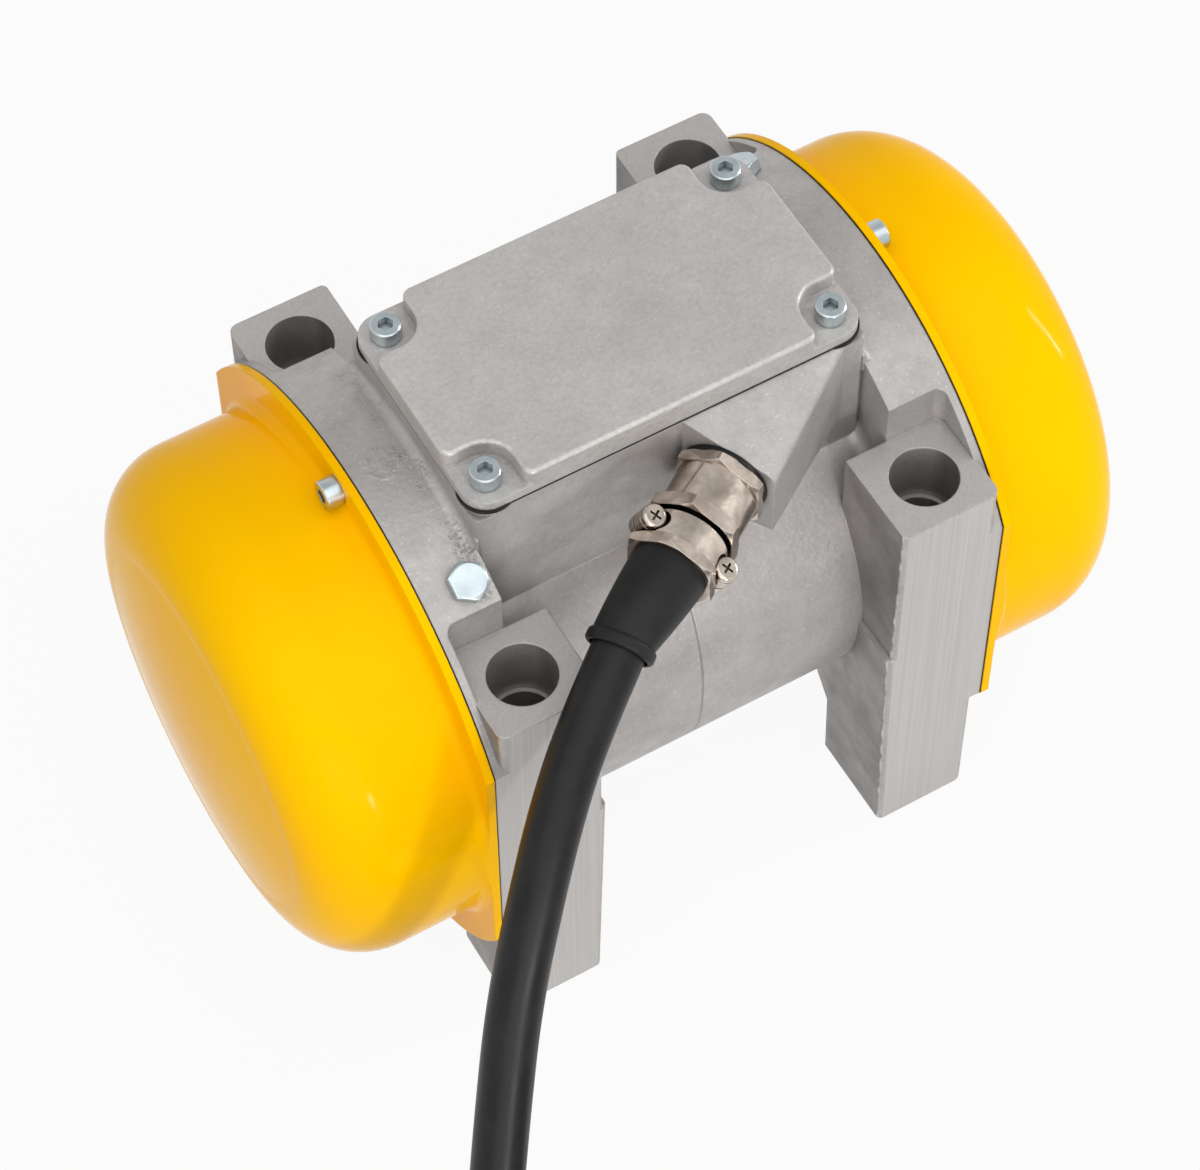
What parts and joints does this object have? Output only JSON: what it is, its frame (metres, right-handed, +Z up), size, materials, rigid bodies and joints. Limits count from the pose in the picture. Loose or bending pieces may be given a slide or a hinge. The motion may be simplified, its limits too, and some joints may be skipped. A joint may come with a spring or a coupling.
{
  "type": "vibration motor",
  "caption": "External vibration motor: cast housing on through-bolted legs, domed end covers over eccentric shaft weights, top terminal box and clamped cable gland with lead.",
  "frame": {"origin": "centre of the four-bolt foot pattern, on the foot plane", "axes": "+X along the shaft, +Y to the rear, away from the gland, +Z up from the feet to the terminal box"},
  "size_m": [0.3315, 0.4565, 0.1951],
  "materials": {
    "cast_aluminium": "sand-cast grey, machined on the legs",
    "cover_yellow": "gloss yellow powder coat",
    "zinc_steel": "bright zinc plated",
    "nickel_brass": "nickel plated brass",
    "black_rubber": "matt black rubber",
    "plug_plastic": "black moulded plastic",
    "plug_brass": "bright brass pins",
    "block_plastic": "brown moulded terminal base",
    "terminal_brass": "brass studs and nuts",
    "cast_iron": "machined cast iron",
    "steel": "ground steel",
    "lamination": "laminated electrical steel",
    "winding": "varnished copper winding",
    "tie_plastic": "black nylon tie"
  },
  "bodies": {
    "housing": {"housing": "cast_aluminium", "terminal_cover": "cast_aluminium", "terminal_gasket": "black_rubber", "terminal_cover_screws": "zinc_steel", "terminal_block": "block_plastic", "terminal_studs": "terminal_brass", "terminal_nuts": "terminal_brass", "earth_screw": "zinc_steel", "gland_o_ring": "black_rubber", "gland_body": "nickel_brass", "gland_nut": "nickel_brass", "gland_seal": "black_rubber", "gland_clamp": "nickel_brass", "gland_saddle": "nickel_brass", "gland_clamp_screws": "nickel_brass", "cable_boot": "black_rubber", "lead_inner": "black_rubber", "lead": "black_rubber", "lead_coil": "black_rubber", "lead_tie": "tie_plastic", "lead_tail": "black_rubber", "plug_nut": "plug_plastic", "plug_body": "plug_plastic", "plug_pins": "plug_brass", "stator_core": "lamination", "end_cover_screws": "zinc_steel", "shield_screws": "zinc_steel", "ring_bolts": "zinc_steel", "left_end_cover": "cover_yellow", "right_end_cover": "cover_yellow", "left_cover_gasket": "black_rubber", "right_cover_gasket": "black_rubber", "left_bearing_shield": "cast_iron", "right_bearing_shield": "cast_iron", "left_outer_race": "steel", "right_outer_race": "steel", "left_coil_end": "winding", "right_coil_end": "winding"},
    "rotor": {"rotor_core": "lamination", "shaft": "steel", "weight_keys": "steel", "shaft_nuts": "steel", "left_inner_race": "steel", "right_inner_race": "steel", "left_rotor_ring": "cast_aluminium", "right_rotor_ring": "cast_aluminium", "left_fixed_weight": "steel", "right_fixed_weight": "steel"},
    "left_adjustable_weight": {"left_adjustable_weight": "steel", "left_weight_clamp_screw": "zinc_steel"},
    "right_adjustable_weight": {"right_adjustable_weight": "steel", "right_weight_clamp_screw": "zinc_steel"},
    "left_bearing_cage": {"left_bearing_cage": "steel", "left_bearing_balls": "steel"},
    "right_bearing_cage": {"right_bearing_cage": "steel", "right_bearing_balls": "steel"}
  },
  "joints": [
    {"name": "shaft_spin", "type": "hinge", "parent": "housing", "child": "rotor", "pos_m": [0, 0, 0.0906], "axis": [1, 0, 0], "continuous": true},
    {"name": "left_cage_spin", "type": "hinge", "parent": "housing", "child": "left_bearing_cage", "pos_m": [-0.0645, 0, 0.0906], "axis": [1, 0, 0], "continuous": true},
    {"name": "right_cage_spin", "type": "hinge", "parent": "housing", "child": "right_bearing_cage", "pos_m": [0.0645, 0, 0.0906], "axis": [1, 0, 0], "continuous": true},
    {"name": "left_weight_setting", "type": "hinge", "parent": "rotor", "child": "left_adjustable_weight", "pos_m": [-0.1114, 0, 0.0906], "axis": [1, 0, 0], "range_deg": [0, 180]},
    {"name": "right_weight_setting", "type": "hinge", "parent": "rotor", "child": "right_adjustable_weight", "pos_m": [0.1114, 0, 0.0906], "axis": [1, 0, 0], "range_deg": [0, 180]}
  ],
  "couplings": [
    {"joint": "left_cage_spin", "follows": "shaft_spin", "ratio": 0.3804},
    {"joint": "right_cage_spin", "follows": "shaft_spin", "ratio": 0.3804}
  ]
}
